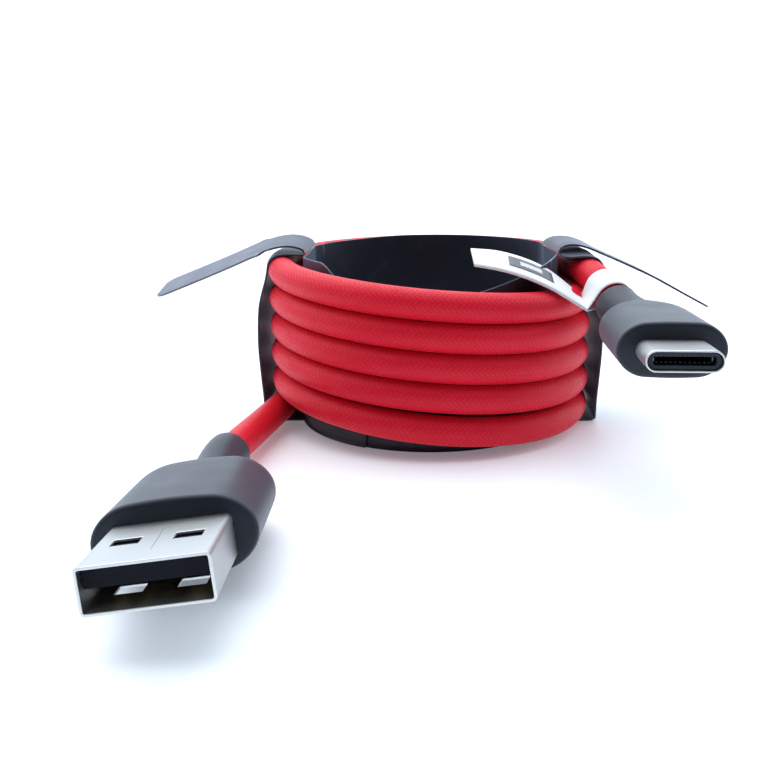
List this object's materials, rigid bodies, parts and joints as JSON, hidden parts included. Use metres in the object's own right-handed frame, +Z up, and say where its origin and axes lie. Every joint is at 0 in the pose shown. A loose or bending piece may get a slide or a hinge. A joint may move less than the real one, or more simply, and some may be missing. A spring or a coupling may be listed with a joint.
{
  "type": "charging cable",
  "caption": "Braided charging cable wound into a flat-sided coil on a folded film holder, with a rectangular plug, a small oval reversible plug and a paper tag.",
  "frame": {"origin": "on the surface the holder stands on, at the axis of the coil", "axes": "+Z up along the coil's axis; +X along the holder's right tongue; both plugs point towards -Y"},
  "size_m": [0.0861, 0.1025, 0.0292],
  "materials": {
    "cord_braid": "braided, matt",
    "overmould": "moulded, fine matt",
    "plated_shell": "nickel plated, bright",
    "insulator": "moulded",
    "contact": "gold plated",
    "inner_mould": "low-pressure moulding",
    "wire_power": "wire insulation",
    "wire_data_minus": "wire insulation",
    "wire_data_plus": "wire insulation",
    "wire_ground": "wire insulation",
    "crimp": "tin plated",
    "latch": "spring temper",
    "board": "solder mask",
    "resistor": "glazed",
    "film": "satin film",
    "tag_paper": "uncoated"
  },
  "bodies": {
    "cable": {"cord_coil": "cord_braid", "cord_tail_a": "cord_braid", "cord_tail_c": "cord_braid", "usb_a_overmould": "overmould", "usb_a_shell": "plated_shell", "usb_a_insulator": "insulator", "usb_a_contact_1": "contact", "usb_a_contact_2": "contact", "usb_a_contact_3": "contact", "usb_a_contact_4": "contact", "usb_a_inner_mould": "inner_mould", "usb_a_wire_power": "wire_power", "usb_a_wire_data_minus": "wire_data_minus", "usb_a_wire_data_plus": "wire_data_plus", "usb_a_wire_ground": "wire_ground", "usb_a_crimp": "crimp", "usb_a_cable_end": "cord_braid", "usb_c_overmould": "overmould", "usb_c_shell": "plated_shell", "usb_c_housing": "insulator", "usb_c_contacts_upper": "contact", "usb_c_contacts_lower": "contact", "usb_c_board": "board", "usb_c_resistor": "resistor", "usb_c_inner_mould": "inner_mould", "usb_c_wire_power": "wire_power", "usb_c_wire_data_minus": "wire_data_minus", "usb_c_wire_data_plus": "wire_data_plus", "usb_c_wire_ground": "wire_ground", "usb_c_crimp": "crimp", "usb_c_cable_end": "cord_braid", "holder_band": "film"},
    "left_tongue": {"holder_left_tongue": "film"},
    "right_tongue": {"holder_right_tongue": "film"},
    "left_strap": {"holder_left_strap": "film"},
    "right_strap": {"holder_right_strap": "film"},
    "tag": {"paper_tag": "tag_paper"},
    "latch_left": {"usb_c_latch_left": "latch"},
    "latch_right": {"usb_c_latch_right": "latch"}
  },
  "joints": [
    {"name": "left_tongue_fold", "type": "hinge", "parent": "cable", "child": "left_tongue", "pos_m": [-0.0201, 0, 0.0266], "axis": [0, 1, 0], "range_deg": [0, 110]},
    {"name": "right_tongue_fold", "type": "hinge", "parent": "cable", "child": "right_tongue", "pos_m": [0.0201, 0, 0.0266], "axis": [0, -1, 0], "range_deg": [0, 110]},
    {"name": "left_strap_fold", "type": "hinge", "parent": "cable", "child": "left_strap", "pos_m": [-0.0263, 0, 0.0004], "axis": [0, -1, 0], "range_deg": [0, 78]},
    {"name": "right_strap_fold", "type": "hinge", "parent": "cable", "child": "right_strap", "pos_m": [0.0263, 0, 0.0004], "axis": [0, 1, 0], "range_deg": [0, 78]},
    {"name": "tag_swing", "type": "hinge", "parent": "cable", "child": "tag", "pos_m": [0.02557, -0.01319, 0.02201], "axis": [-0.2047, 0.9287, 0.3092], "range_deg": [0, 100]},
    {"name": "latch_left_spring", "type": "hinge", "parent": "cable", "child": "latch_left", "pos_m": [0.03022, -0.04509, 0.02079], "axis": [0.0025, 0.0558, 0.9984], "range_deg": [0, 4], "stiffness_Nm_per_rad": 0.02},
    {"name": "latch_right_spring", "type": "hinge", "parent": "cable", "child": "latch_right", "pos_m": [0.02409, -0.04481, 0.02079], "axis": [-0.0025, -0.0558, -0.9984], "range_deg": [0, 4], "stiffness_Nm_per_rad": 0.02}
  ],
  "couplings": [
    {"joint": "left_strap_fold", "follows": "left_tongue_fold", "ratio": 0.7},
    {"joint": "right_strap_fold", "follows": "right_tongue_fold", "ratio": 0.7}
  ]
}
